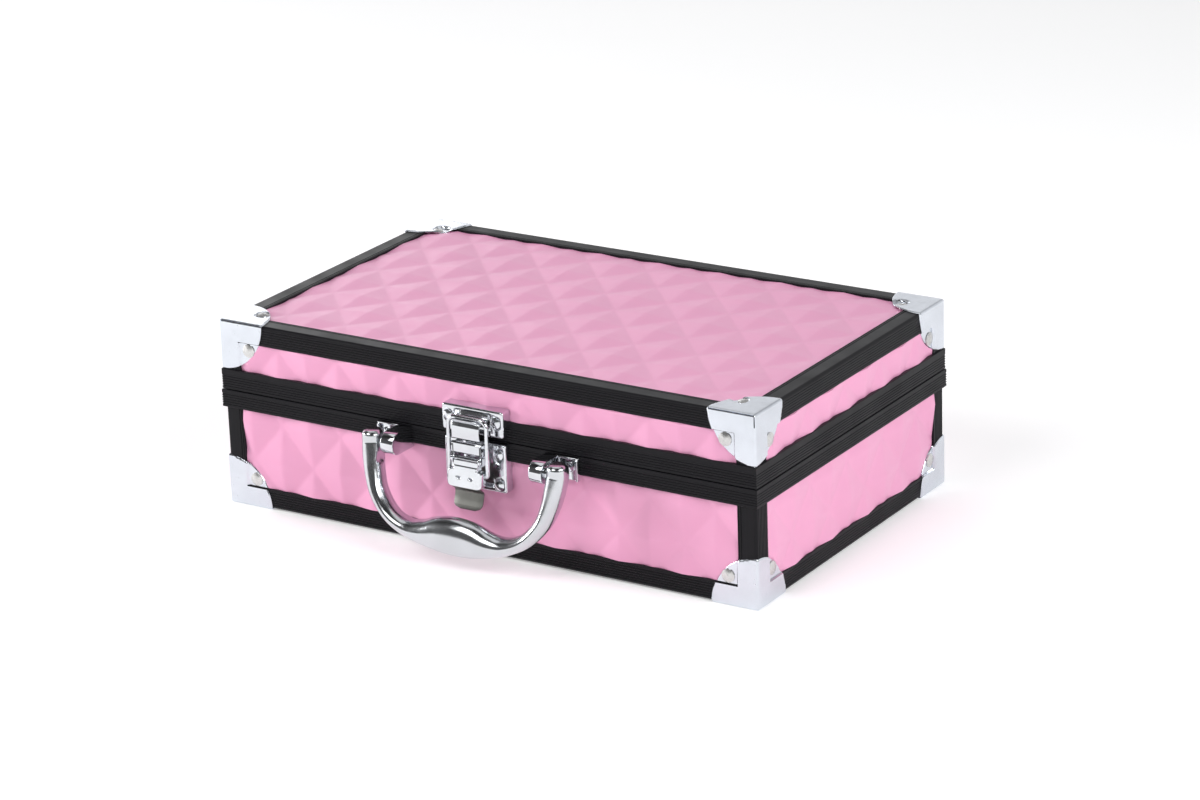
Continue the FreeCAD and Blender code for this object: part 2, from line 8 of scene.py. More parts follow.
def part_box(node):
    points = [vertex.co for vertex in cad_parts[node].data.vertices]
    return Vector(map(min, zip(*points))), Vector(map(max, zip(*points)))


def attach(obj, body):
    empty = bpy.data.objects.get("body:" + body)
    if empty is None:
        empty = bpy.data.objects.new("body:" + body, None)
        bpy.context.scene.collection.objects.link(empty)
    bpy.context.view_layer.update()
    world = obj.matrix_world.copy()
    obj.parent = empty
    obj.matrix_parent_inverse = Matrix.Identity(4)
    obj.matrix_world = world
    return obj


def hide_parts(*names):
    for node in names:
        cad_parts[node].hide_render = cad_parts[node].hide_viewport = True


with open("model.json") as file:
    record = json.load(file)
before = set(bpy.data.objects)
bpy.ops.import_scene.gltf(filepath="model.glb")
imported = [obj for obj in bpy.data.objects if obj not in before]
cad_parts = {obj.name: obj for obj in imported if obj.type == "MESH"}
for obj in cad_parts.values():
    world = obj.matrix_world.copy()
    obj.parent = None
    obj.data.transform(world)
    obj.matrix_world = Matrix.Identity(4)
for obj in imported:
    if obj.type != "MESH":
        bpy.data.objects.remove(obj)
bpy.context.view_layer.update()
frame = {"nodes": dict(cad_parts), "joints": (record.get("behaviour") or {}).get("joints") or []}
nodes = frame["nodes"]

# ---- boards with the embossed skin ----------------------------------------------------
# Thin boards with a vacuum-formed plastic skin glued on. The skin carries rows of shallow
# pyramids on diamond bases, raised by the film, and is pressed flat under the edging.

MM = 0.001                     # all sizes below are in millimetres
diamond_half_wide = 15.8
diamond_half_high = 17.7
wall_relief = 2.2              # height of the pyramids on the walls
flat_relief = 1.2              # and on the top and bottom
crease_soft = 0.03             # rounding of ridges and valleys, as a share of half a diamond
cells = 14                     # mesh cells from a pyramid's middle to its edge
lip_wide = 9.2                 # outer leg of the edge extrusions
lip_back = 0.6                 # how far the edge extrusions lie behind the caps
cap_reach = 22.95              # radius of a corner cap's lobes
tuck = 0.6                     # the relief dies out this far under an edge

case_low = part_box("corner_base_front_left")[0] / MM
case_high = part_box("corner_lid_back_right")[1] / MM
base_rail_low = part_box("base_rail_front")[0].z / MM
lid_rail_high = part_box("lid_rail_front")[1].z / MM


def make_piece(name, points, faces, body, material, stands_for=(), sharp=38):
    """Mesh from points in millimetres, riding on a body in place of the named nodes."""
    mesh = bpy.data.meshes.new(name)
    mesh.from_pydata([Vector(p) * MM for p in points], [], faces)
    mesh.validate()
    piece = bpy.data.objects.new(name, mesh)
    bpy.context.scene.collection.objects.link(piece)
    mesh.materials.append(material)
    shade(mesh, sharp)
    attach(piece, body)
    if stands_for:
        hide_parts(*stands_for)
    return piece


def shade(mesh, sharp):
    mesh.polygons.foreach_set("use_smooth", [True] * len(mesh.polygons))
    mesh.set_sharp_from_angle(angle=math.radians(sharp))


def ramp(t):
    t = min(max(t, 0.0), 1.0)
    return t * t * (3 - 2 * t)


def folded(t):
    """Triangle wave of period 2 with a softened peak, 0 at even whole numbers."""
    t = abs((t + 1) % 2 - 1)
    return 1 - math.hypot(1 - t, crease_soft) + crease_soft


def pyramid(u, v):
    """Height of the relief, 0 to 1, at a place counted in half diamonds."""
    a = folded(u + v)
    b = folded(u - v)
    return 1 - (a + b + math.hypot(a - b, crease_soft) - crease_soft) / 2


def steps_between(low, high, start, pitch, extra):
    first = math.ceil((low + 0.3 - start) / pitch)
    last = math.floor((high - 0.3 - start) / pitch)
    lines = [start + k * pitch for k in range(first, last + 1)]
    lines = [x for x in lines if all(abs(x - e) > 0.25 for e in extra)]
    return sorted(lines + [low, high] + extra)


def skinned_board(node, body, to_point, u_span, v_span, deep, window, start, corners, high):
    """Board from its skin to its back; to_point turns (u, v, height) into a place."""
    (u0, u1), (v0, v1) = window
    us = steps_between(*u_span, start[0], diamond_half_wide / cells, [u0 - tuck, u0, u1, u1 + tuck])
    vs = steps_between(*v_span, start[1], diamond_half_high / cells, [v0 - tuck, v0, v1, v1 + tuck])

    def height(u, v):
        free = ramp((u - u0) / tuck + 1) * ramp((u1 - u) / tuck + 1)
        free *= ramp((v - v0) / tuck + 1) * ramp((v1 - v) / tuck + 1)
        for cu, cv in corners:
            free *= ramp((math.hypot(u - cu, v - cv) - cap_reach) / tuck + 1)
        across = (u - start[0]) / diamond_half_wide
        up = (v - start[1]) / diamond_half_high
        return high * free * pyramid(across, up)

    points = [to_point(u, v, height(u, v)) for v in vs for u in us]
    wide = len(us)
    faces = []
    for j in range(len(vs) - 1):
        for i in range(wide - 1):
            a = j * wide + i
            b, c, d = a + 1, a + wide + 1, a + wide
            across = ((us[i] + us[i + 1]) / 2 - start[0]) / diamond_half_wide
            up = ((vs[j] + vs[j + 1]) / 2 - start[1]) / diamond_half_high
            whole = math.floor(across) + math.floor(up)
            faces += [(a, b, d), (b, c, d)] if whole % 2 == 0 else [(a, b, c), (a, c, d)]
    tall = len(vs)
    rim = list(range(wide)) + [j * wide + wide - 1 for j in range(1, tall)]
    rim += list(range(tall * wide - 2, (tall - 1) * wide - 1, -1))
    rim += [j * wide for j in range(tall - 2, 0, -1)]
    back = len(points)
    at = [(us[k % wide], vs[k // wide]) for k in rim]
    points += [to_point(u, v, -deep) for u, v in at]
    n = len(rim)
    faces += [(rim[k], back + k, back + (k + 1) % n, rim[(k + 1) % n]) for k in range(n)]
    faces.append(tuple(back + k for k in reversed(range(n))))
    return make_piece("skin_" + node, points, faces, body, pink_skin, [node], sharp=24)


def new_material(name):
    material = bpy.data.materials.new(name)
    material.use_nodes = True
    tree = material.node_tree
    return material, tree, tree.nodes["Principled BSDF"]


def noise(tree, scale, detail=3.0, rough=0.5, stretch=(1, 1, 1)):
    """Noise over the object's own space; scale counts features per metre."""
    place = tree.nodes.new("ShaderNodeTexCoord")
    mapping = tree.nodes.new("ShaderNodeMapping")
    mapping.inputs["Scale"].default_value = stretch
    tree.links.new(place.outputs["Object"], mapping.inputs["Vector"])
    texture = tree.nodes.new("ShaderNodeTexNoise")
    texture.inputs["Scale"].default_value = scale
    texture.inputs["Detail"].default_value = detail
    texture.inputs["Roughness"].default_value = rough
    tree.links.new(mapping.outputs["Vector"], texture.inputs["Vector"])
    return texture.outputs["Fac"]


def spread(tree, value, low, high, start=0.3, end=0.7):
    """A noise value spread from low to high between its start and end."""
    node = tree.nodes.new("ShaderNodeMapRange")
    node.inputs["From Min"].default_value = start
    node.inputs["From Max"].default_value = end
    node.inputs["To Min"].default_value = low
    node.inputs["To Max"].default_value = high
    tree.links.new(value, node.inputs["Value"])
    return node.outputs["Result"]


def mixed(tree, value, first, second):
    node = tree.nodes.new("ShaderNodeMix")
    node.data_type = "RGBA"
    node.inputs["A"].default_value = (*first, 1)
    node.inputs["B"].default_value = (*second, 1)
    tree.links.new(value, node.inputs["Factor"])
    return node.outputs["Result"]


def bumps(tree, shader, *layers):
    """Bump layers, each (height value, depth in metres), one over the other."""
    normal = None
    for value, depth in layers:
        node = tree.nodes.new("ShaderNodeBump")
        node.inputs["Distance"].default_value = depth
        tree.links.new(value, node.inputs["Height"])
        if normal:
            tree.links.new(normal, node.inputs["Normal"])
        normal = node.outputs["Normal"]
    tree.links.new(normal, shader.inputs["Normal"])


def pink_plastic():
    material, tree, shader = new_material("pink_embossed_skin")
    cloudy = noise(tree, 22, 4)
    tree.links.new(mixed(tree, spread(tree, cloudy, 0, 1), (0.76, 0.335, 0.520), (0.80, 0.358, 0.548)),
                   shader.inputs["Base Color"])
    tree.links.new(spread(tree, noise(tree, 160, 4), 0.36, 0.46), shader.inputs["Roughness"])
    bumps(tree, shader, (noise(tree, 900, 3), 0.000025), (noise(tree, 70, 2), 0.00012))
    shader.inputs["Specular IOR Level"].default_value = 0.5
    shader.inputs["Subsurface Weight"].default_value = 0.04
    shader.inputs["Subsurface Radius"].default_value = (0.0015, 0.0006, 0.0009)
    return material


pink_skin = pink_plastic()
left, front, bottom = case_low
right, back, top = case_high
lip = lip_back + lip_wide
side_start = (20.5, 22.6)      # middle of one pyramid on the front and back walls
end_start = (back - 24.0, 22.6)
top_start = (-98.8, 55.4)

for low_part in (True, False):
    body = "base" if low_part else "lid"
    z_window = (bottom + lip, base_rail_low) if low_part else (lid_rail_high, top - lip)
    corner_z = bottom if low_part else top
    for side in ("front", "back", "left", "right"):
        node = f"{body}_panel_{side}"
        low, high = (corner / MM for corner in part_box(node))
        across = side in ("front", "back")
        u_span = (low.x, high.x) if across else (low.y, high.y)
        u_window = (left + lip, right - lip) if across else (front + lip, back - lip)
        ends = (left, right) if across else (front, back)
        place = {"front": lambda u, v, h, low=low: (u, low.y - h, v),
                 "back": lambda u, v, h, high=high: (u, high.y + h, v),
                 "left": lambda u, v, h, low=low: (low.x - h, u, v),
                 "right": lambda u, v, h, high=high: (high.x + h, u, v)}[side]
        thick = high.y - low.y if across else high.x - low.x
        skinned_board(node, body, place, u_span, (low.z, high.z), thick, (u_window, z_window),
                      side_start if across else end_start, [(end, corner_z) for end in ends], wall_relief)

low, high = (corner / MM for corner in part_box("lid_panel_top"))
skinned_board("lid_panel_top", "lid", lambda u, v, h, face=high.z: (u, v, face + h),
              (low.x, high.x), (low.y, high.y), high.z - low.z,
              ((left + lip, right - lip), (front + lip, back - lip)), top_start,
              [(x, y) for x in (left, right) for y in (front, back)], flat_relief)
low, high = (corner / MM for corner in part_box("floor_panel"))
skinned_board("floor_panel", "base", lambda u, v, h, face=low.z: (u, v, face - h),
              (low.x, high.x), (low.y, high.y), high.z - low.z,
              ((left + lip, right - lip), (front + lip, back - lip)), top_start,
              [(x, y) for x in (left, right) for y in (front, back)], flat_relief)

# ---- black edging ---------------------------------------------------------------------
# Aluminium extrusions, anodised black: edge strips, upright posts and the two seam rails.
# Fine grooves and die lines run along each length; the lengths are mitred at the corners.


def anodised_black(name, along):
    material, tree, shader = new_material(name)
    stretch = [1.0, 1.0, 1.0]
    stretch["xyz".index(along)] = 0.003
    lines = noise(tree, 2600, 2, stretch=stretch)
    handled = noise(tree, 60, 5)
    tree.links.new(mixed(tree, spread(tree, lines, 0, 1), (0.0055, 0.0050, 0.0065), (0.0085, 0.0080, 0.0102)),
                   shader.inputs["Base Color"])
    tree.links.new(spread(tree, handled, 0.33, 0.46), shader.inputs["Roughness"])
    bumps(tree, shader, (lines, 0.000002), (noise(tree, 1500, 2), 0.0000006))
    shader.inputs["Specular IOR Level"].default_value = 0.15
    return material


black_along = {along: anodised_black("black_anodised_" + along, along) for along in "xyz"}
for name, node in nodes.items():
    if name.endswith("_posts"):
        node.data.materials.clear()
        node.data.materials.append(black_along["z"])
    elif "_edge_" in name or "_rail_" in name:
        along = "x" if name.endswith(("front", "back")) else "y"
        node.data.materials.clear()
        node.data.materials.append(black_along[along])

# ---- corner caps ----------------------------------------------------------------------
# Bright plated steel, pressed in one piece with three round lobes over the corner's three
# faces. In each lobe a slit frees a flap, which is stepped down to the board and riveted.

sheet = 0.55
corner_ball = 1.2
flap_step = 9.9                # from the corner to the flap's step and slit
flap_drop = 1.05
slit_wide = 0.6
step_soft = 1.1
rim_roll = 0.4
seam_wide = 0.45               # open seam of the lid's caps along the long edge
seam_down = 5.5                # how far the seam runs on down the upright edge
rivet_head = 3.05
rivet_across = 13.1            # a rivet's place from the lobe's two edges
rivet_down = 14.9


def bright_plated(name, colour, rough, wave, tint=0.9):
    """Plated metal: colour, roughness range, and waviness of the surface in metres."""
    material, tree, shader = new_material(name)
    shader.inputs["Metallic"].default_value = 1.0
    dull = tuple(tint * c for c in colour)
    cloudy = spread(tree, noise(tree, 90, 5), 0, 1)
    tree.links.new(mixed(tree, cloudy, dull, colour), shader.inputs["Base Color"])
    tree.links.new(spread(tree, noise(tree, 420, 6, 0.65), *rough), shader.inputs["Roughness"])
    bumps(tree, shader, (noise(tree, 120, 2), wave), (noise(tree, 2400, 3), 0.000003))
    return material


corner_plate = bright_plated("corner_plate", (0.70, 0.73, 0.785), (0.16, 0.28), 0.00008)


def around_ball(s, t):
    """Place on a rounded corner: s and t run along the surface from its two edges."""
    bend = corner_ball * math.pi / 4
    across = math.tan(max(0.0, bend - s) / corner_ball)
    down = math.tan(max(0.0, bend - t) / corner_ball)
    way = Vector((-across, -down, -1)).normalized() * corner_ball
    return Vector((corner_ball + max(0.0, s - bend), corner_ball + max(0.0, t - bend), corner_ball)) + way


def flap_depth(face, s, t):
    """How far a lobe is pressed in at a place counted from the flap's inner corner."""
    if face == "front":
        return flap_drop * ramp((s + 0.2) / step_soft) if t > -0.001 else 0.0
    if face == "side":
        return flap_drop * ramp((t + 0.2) / 0.5) * ramp((s + 0.2) / 0.5)
    away = math.hypot(s - rivet_across + flap_step, t - rivet_down + flap_step)
    return flap_drop * ramp(rivet_head + 1.1 - away) * ramp((s + 0.35) / 0.4)


def cap_lobe(face):
    """One lobe's grid: rows run along s, columns along t, from the lobe's two edges."""
    bend = corner_ball * math.pi / 4
    shift = corner_ball - bend     # a place x from the corner is at s = x - shift
    step = flap_step - shift
    reach = cap_reach - shift
    near = [0.0, seam_wide, 0.6, 0.78, bend, 2.2, 3.8, seam_down, 7.2, 8.4]
    at_step = [step - slit_wide, step - 0.2, step, step + 0.15, step + 0.3, step + 0.6, step + 0.9]
    lines = near + at_step
    far = 22
    stations = lines + [lines[-1] + (reach - lines[-1]) * k / far for k in range(1, far + 1)]
    grid = []
    for t in stations:
        end = math.sqrt(max(0.0, cap_reach ** 2 - (t + shift) ** 2)) - shift
        row = [min(s, max(end, 0.0)) for s in lines]
        row += [row[-1] + max(end - row[-1], 0.0) * k / far for k in range(1, far + 1)]
        points = []
        for s in row:
            roll = min(max((math.hypot(s + shift, t + shift) - cap_reach + rim_roll) / rim_roll, 0.0), 1.0)
            place = around_ball(s, t)
            place.z += flap_depth(face, s - step, t - step) + rim_roll * (1 - math.sqrt(1 - roll * roll))
            points.append(place)
        grid.append(points)
    return grid, lines.index(step), near.index(seam_down)


def corner_cap(name, node, body, sign_x, sign_y, sign_z):
    corner = Vector((left if sign_x > 0 else right, front if sign_y > 0 else back,
                     bottom if sign_z > 0 else top))
    turns = {"front": lambda p: (p.x, p.z, p.y), "side": lambda p: (p.z, p.y, p.x),
             "flat": lambda p: (p.y, p.x, p.z)}
    points = []
    faces = []
    for face, turn in turns.items():
        grid, step, seam_end = cap_lobe(face)
        first = len(points)
        wide = len(grid[0])
        for row in grid:
            for p in row:
                x, y, z = turn(p)
                points.append(corner + Vector((x * sign_x, y * sign_y, z * sign_z)))
        for j in range(len(grid) - 1):
            for i in range(wide - 1):
                slit = face == "front" and step - 2 <= j < step and i >= step
                seam = face == "front" and body == "lid" and (j == 0 or (i == 0 and j < seam_end))
                if not slit and not seam:
                    a = first + j * wide + i
                    faces.append((a, a + 1, a + wide + 1, a + wide))
    piece = make_piece(name, points, faces, body, corner_plate, [node])
    clean_sheet(piece, corner + 30 * Vector((-sign_x, -sign_y, -sign_z)), sheet)
    return piece


def clean_sheet(piece, outside, thick, bevel=0.0):
    """Welds a sheet, turns its faces to the outside place and gives it its thickness inwards."""
    weld = piece.modifiers.new("weld", "WELD")
    weld.merge_threshold = 0.004 * MM
    settle(piece)
    mesh = piece.data
    out = Vector(outside) * MM
    total = sum((out - p.center).normalized().dot(p.normal) * p.area for p in mesh.polygons)
    if total < 0:
        mesh.flip_normals()
    solid = piece.modifiers.new("thickness", "SOLIDIFY")
    solid.thickness = thick * MM
    solid.offset = -1
    if bevel:
        edge = piece.modifiers.new("edges", "BEVEL")
        edge.width = bevel * MM
        edge.segments = 2
        edge.limit_method = "ANGLE"
        edge.angle_limit = math.radians(50)
    settle(piece)


def settle(piece):
    """Applies the piece's modifiers to its mesh."""
    mesh = bpy.data.meshes.new_from_object(piece.evaluated_get(bpy.context.evaluated_depsgraph_get()))
    piece.modifiers.clear()
    piece.data = mesh
    shade(mesh, 38)


for low_part in (True, False):
    body = "base" if low_part else "lid"
    for depth_side in ("front", "back"):
        for wide_side in ("left", "right"):
            node = f"corner_{body}_{depth_side}_{wide_side}"
            corner_cap("cap_" + node[7:], node, body, 1 if wide_side == "left" else -1,
                       1 if depth_side == "front" else -1, 1 if low_part else -1)

# ---- cap rivets -----------------------------------------------------------------------
# Low domed nickel-plated rivets, one through each flap: three to a corner.

nickel = bright_plated("rivet_nickel", (0.66, 0.655, 0.645), (0.20, 0.34), 0.00002, 0.8)
for name in ("corner_rivets_base", "corner_rivets_lid"):
    nodes[name].data.materials.clear()
    nodes[name].data.materials.append(nickel)

# ---- hinges ---------------------------------------------------------------------------
# Two small butt hinges behind, plated steel leaves riveted to the seam rails.

hinge_plate = bright_plated("hinge_plate", (0.78, 0.79, 0.81), (0.14, 0.28), 0.00003)
for name, node in nodes.items():
    if name.startswith("hinge_"):
        node.data.materials.clear()
        node.data.materials.append(hinge_plate)

# ---- lining ---------------------------------------------------------------------------
# Black flocked foam sheet, glued inside base and lid, with soft folds in its corners.

foam_thick = 2.0
fold_r = 5.0


def flock():
    material, tree, shader = new_material("black_flock")
    patches = noise(tree, 45, 5)
    tree.links.new(mixed(tree, spread(tree, patches, 0, 1), (0.010, 0.010, 0.011), (0.024, 0.023, 0.025)),
                   shader.inputs["Base Color"])
    tree.links.new(spread(tree, noise(tree, 2200, 3), 0.86, 1.0), shader.inputs["Roughness"])
    bumps(tree, shader, (noise(tree, 3200, 4, 0.7), 0.00012), (patches, 0.0006))
    shader.inputs["Sheen Weight"].default_value = 0.35
    shader.inputs["Sheen Roughness"].default_value = 0.5
    return material


def round_ring(half_u, half_v, r, along_u, along_v, bend=6):
    """Rounded rectangle as a ring of (u, v), counter-clockwise from its right side."""
    ring = []
    sides = [((half_u, r - half_v), (half_u, half_v - r), along_v, 0),
             ((half_u - r, half_v), (r - half_u, half_v), along_u, 90),
             ((-half_u, half_v - r), (-half_u, r - half_v), along_v, 180),
             ((r - half_u, -half_v), (half_u - r, -half_v), along_u, 270)]
    centres = [(half_u - r, half_v - r), (r - half_u, half_v - r),
               (r - half_u, r - half_v), (half_u - r, r - half_v)]
    for (start, end, count, turn), centre in zip(sides, centres):
        for k in range(count):
            ring.append(tuple(a + (b - a) * k / count for a, b in zip(start, end)))
        for k in range(bend):
            angle = math.radians(turn + 90 * k / bend)
            ring.append((centre[0] + r * math.cos(angle), centre[1] + r * math.sin(angle)))
    return ring


def lofted(rings, start_cap=True, end_cap=True):
    """Points and faces of a skin over rings of equally many points."""
    points = [p for ring in rings for p in ring]
    n = len(rings[0])
    faces = []
    for j in range(len(rings) - 1):
        for i in range(n):
            a = j * n + i
            b = j * n + (i + 1) % n
            faces.append((a, b, b + n, a + n))
    if start_cap:
        faces.append(tuple(reversed(range(n))))
    if end_cap:
        faces.append(tuple(range(len(points) - n, len(points))))
    return points, faces


black_flock = flock()


def tub(name, node, body):
    """Open tub inside its node's box; the lid's tub hangs upside down."""
    low, high = (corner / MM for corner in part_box(node))
    middle = (low + high) / 2
    half = (high - low) / 2
    floor, rim = (low.z, high.z) if body == "base" else (high.z, low.z)
    way = 1 if rim > floor else -1
    rings = []

    def ring(inset, z):
        r = max(fold_r - inset, 1.0)
        return [(middle.x + u, middle.y + v, z)
                for u, v in round_ring(half.x - inset, half.y - inset, r, 24, 14)]

    rings += [ring(0.6, floor), ring(0, floor + way * 0.6), ring(0, rim - way * 0.8)]
    rings += [ring(foam_thick / 2 * (1 - math.cos(a)), rim - way * 0.8 * (1 - math.sin(a)))
              for a in [math.pi * k / 6 for k in range(1, 6)]]
    rings += [ring(foam_thick, rim - way * 0.8)]
    inner_floor = floor + way * foam_thick
    rings += [ring(foam_thick, rim - (rim - inner_floor) * k / 4) for k in (1, 2, 3)]
    rings += [ring(foam_thick + fold_r * (1 - math.cos(a)), inner_floor + way * fold_r * (1 - math.sin(a)))
              for a in [math.pi / 2 * k / 6 for k in range(7)]]
    points, faces = lofted(rings)
    piece = make_piece(name, points, faces, body, black_flock, [node])
    return piece


tub("lining_base", "base_lining", "base")
tub("lining_lid", "lid_lining", "lid")

# ---- draw latch: keeper and base plate ------------------------------------------------
# Pressed steel, bright plated. Both plates are shallow trays whose edges stand on the wall,
# with a soft recess in the middle and a dimple round each rivet.

latch_plate = bright_plated("latch_plate", (0.70, 0.715, 0.745), (0.07, 0.16), 0.00004)
plate_sheet = 0.9
plate_corner = 1.3
plate_bend = 0.9
dimple_r = 3.1
rivet_x = 12.1


def out(distance):
    """The y of a place that far in front of the edge extrusions' faces."""
    return front + lip_back - distance


def dimple(x, z, at_x, at_z):
    away = math.hypot(x - at_x, z - at_z)
    return dimple_deep * (1 - ramp((away - dimple_r + 1.2) / 1.2))


def pressed_tray(name, node, body, low, high, face_out, foot_out, press):
    """Tray from its foot on the wall, round its edge bend and over its pressed face."""
    box_low, box_high = (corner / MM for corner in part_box(node))
    half_u = (box_high.x - box_low.x) / 2
    half_v = (high - low) / 2
    middle = (high + low) / 2
    rings = []

    def ring(inset, distance):
        flat = round_ring(half_u - inset, half_v - inset, max(plate_corner - inset, 0.25), 56, 22)
        return [(u, out(distance(u, v + middle)), v + middle) for u, v in flat]

    rings.append(ring(0, lambda u, v: foot_out(v)))
    rings += [ring(0, lambda u, v, k=k: foot_out(v) + (face_out - plate_bend - foot_out(v)) * k)
              for k in (0.5, 1)]
    for a in [math.pi / 2 * k / 5 for k in range(1, 6)]:
        inset = plate_bend * (1 - math.cos(a))
        rings.append(ring(inset, lambda u, v, a=a: face_out - plate_bend * (1 - math.sin(a))))
    inset = plate_bend
    while inset < half_v - 0.1:
        inset = min(inset + 0.32, half_v - 0.05)
        rings.append(ring(inset, lambda u, v: face_out - press(u, v)))
    points, faces = lofted(rings, start_cap=False, end_cap=False)
    piece = make_piece(name, points, faces, body, latch_plate, [node])
    clean_sheet(piece, (0, out(200), middle), plate_sheet)
    return piece


keeper_low, keeper_high, keeper_out = 56.9, 68.7, 5.2
plate_low, plate_high, plate_out = 31.7, 53.6, 4.1
keeper_rivet_z = 63.6
base_rivet_z = (48.9, 35.2)
well_half = 9.3                # half width of the recess between the rivets
well_soft = 1.6
dimple_deep = 0.75
over_lid_rail = 0.76           # where the plates' feet end, in front of the rails
over_base_rail = 1.1
behind_face = -0.6             # and where there is only the board


def well(x, z, low, high, deep):
    inside = ramp((well_half - abs(x)) / well_soft)
    inside *= ramp((z - low) / well_soft) * ramp((high - z) / well_soft)
    return deep * inside


def keeper_press(x, z):
    pressed = well(x, z, keeper_low - 3, 67.5, 2.2)
    return max([pressed] + [dimple(x, z, side * rivet_x, keeper_rivet_z) for side in (-1, 1)])


def base_press(x, z):
    pressed = well(x, z, 33.1, plate_high + 3, 2.4)
    places = [(side * rivet_x, height) for side in (-1, 1) for height in base_rivet_z]
    return max([pressed] + [dimple(x, z, *place) for place in places])


pressed_tray("keeper_plate", "keeper", "lid", keeper_low, keeper_high, keeper_out,
             lambda z: over_lid_rail if z < lid_rail_high + 0.1 else behind_face, keeper_press)
pressed_tray("latch_base_plate", "latch_base", "base", plate_low, plate_high, plate_out,
             lambda z: over_base_rail if z > base_rail_low - 0.1 else behind_face, base_press)


def rounded_line(corners, steps=5):
    """Line through (a, b, radius) corners, with an arc at each."""
    line = [Vector(corners[0][:2])]
    for before, here, after in zip(corners, corners[1:], corners[2:]):
        p = Vector(here[:2])
        back_way = (Vector(before[:2]) - p).normalized()
        on_way = (Vector(after[:2]) - p).normalized()
        half = back_way.angle(on_way) / 2
        cut = here[2] / math.tan(half)
        middle = p + (back_way + on_way).normalized() * here[2] / math.sin(half)
        start = p + back_way * cut - middle
        turn = back_way.angle_signed(-on_way)
        for k in range(steps + 1):
            arm = start.copy()
            angle = -turn * k / steps
            arm = Vector((arm.x * math.cos(angle) - arm.y * math.sin(angle),
                          arm.x * math.sin(angle) + arm.y * math.cos(angle)))
            line.append(middle + arm)
    line.append(Vector(corners[-1][:2]))
    return line


def bent_strip(name, corners, half_wide, thick, body, material, narrow=lambda k: 0.0, bevel=0.12):
    """Strip of sheet bent along (out, height, radius) corners, as wide as it says."""
    line = rounded_line(corners)
    lengths = [0.0]
    for a, b in zip(line, line[1:]):
        lengths.append(lengths[-1] + (b - a).length)
    rows = []
    for p, run in zip(line, lengths):
        half = half_wide - narrow(lengths[-1] - run)
        rows.append([(x * half, out(p.x), p.y) for x in (-1, -0.5, 0, 0.5, 1)])
    points = [p for row in rows for p in row]
    faces = [(j * 5 + i, j * 5 + i + 1, j * 5 + i + 6, j * 5 + i + 5)
             for j in range(len(rows) - 1) for i in range(4)]
    piece = make_piece(name, points, faces, body, material)
    clean_sheet(piece, (0, out(200), 150), thick, bevel)
    return piece


hook_corners = [(3.4, 66.0, 1), (3.9, 63.7, 0.9), (10.1, 63.7, 1.0), (10.9, 61.6, 2.0), (10.9, 56.3, 1)]
bent_strip("keeper_hook", hook_corners, 6.9, 0.9, "lid", latch_plate)
lip_corners = [(9.4, 63.2, 1), (10.6, 63.5, 0.5), (11.5, 64.6, 0.3), (11.4, 64.8, 1)]
bent_strip("keeper_hook_lip", lip_corners, 6.3, 0.6, "lid", latch_plate)
bridge_corners = [(9.9, 54.6, 1), (10.6, 53.8, 0.7), (10.6, 49.9, 0.6), (9.8, 49.2, 1)]
bent_strip("latch_bridge", bridge_corners, 7.2, 0.8, "base", latch_plate)

lever_joint = next(j for j in frame["joints"] if j["name"] == "latch_lever_swing")
pivot_out = front + lip_back - lever_joint["pos_m"][1] / MM
pivot_z = lever_joint["pos_m"][2] / MM
ear_x = 7.2
ear_thick = 0.8
ear_boss = 2.3


def side_plate(name, outline, x0, x1, body, slot, material, bevel=0.15):
    """Plate with a rounded (out, height) outline, standing across the case between two x."""
    n = len(outline)
    points = [(x, out(p[0]), p[1]) for x in (x0, x1) for p in outline]
    faces = [(i, (i + 1) % n, n + (i + 1) % n, n + i) for i in range(n)]
    faces += [tuple(reversed(range(n))), tuple(range(n, 2 * n))]
    piece = make_piece(name, points, faces, body, material)
    edge = piece.modifiers.new("edges", "BEVEL")
    edge.width = bevel * MM
    edge.segments = 3
    edge.limit_method = "ANGLE"
    edge.angle_limit = math.radians(40)
    settle(piece)
    return piece


def arc_points(centre, r, start, end, count=12):
    angles = [math.radians(start + (end - start) * k / count) for k in range(count + 1)]
    return [(centre[0] + r * math.cos(a), centre[1] + r * math.sin(a)) for a in angles]


for sign, side in ((-1, "left"), (1, "right")):
    outline = [(3.0, 54.0), (3.0, pivot_z - 3.6)]
    outline += arc_points((pivot_out, pivot_z), ear_boss, -110, 20)
    outline += [(10.6, 49.6), (10.6, 53.6), (10.2, 54.0)]
    inner, outer = sorted((sign * (ear_x - ear_thick), sign * ear_x))
    side_plate("latch_ear_" + side, outline, inner, outer, "base", "latch_chrome", latch_plate)

for name in ("keeper_rivets", "latch_rivets", "lever_pivot_pin"):
    nodes[name].data.materials.clear()
    nodes[name].data.materials.append(latch_plate)

# ---- draw latch: lever, finger tab and wire loop --------------------------------------
# The lever is a pressed channel with a narrow neck between the ears and a wide lower part
# that holds the wire's feet. Behind it sits a thin grey leaf for the finger.

lever_top, lever_low = 46.5, 35.4
lever_shoulder = 42.6
neck_half, wide_half = 6.2, 8.7
lever_face = {"top": 11.7, "low": 13.7}
lever_sheet = 0.8
side_deep = 3.4


def lever_half(z):
    half = neck_half + (wide_half - neck_half) * ramp((lever_shoulder + 0.35 - z) / 0.9)
    bottom_r = 1.5
    short = bottom_r - min(z - lever_low, bottom_r)
    return half - (bottom_r - math.sqrt(bottom_r ** 2 - short ** 2))


def lance(x, z):
    """Half-moon lances that pin the leaf behind the lever."""
    height = 0.0
    for at_x in (-3.0, 3.0):
        away = math.hypot(x - at_x, z - 39.8)
        if away < 1 and z < 39.85:
            height = min(height, -1.3 * (1 - away ** 4))
    return height


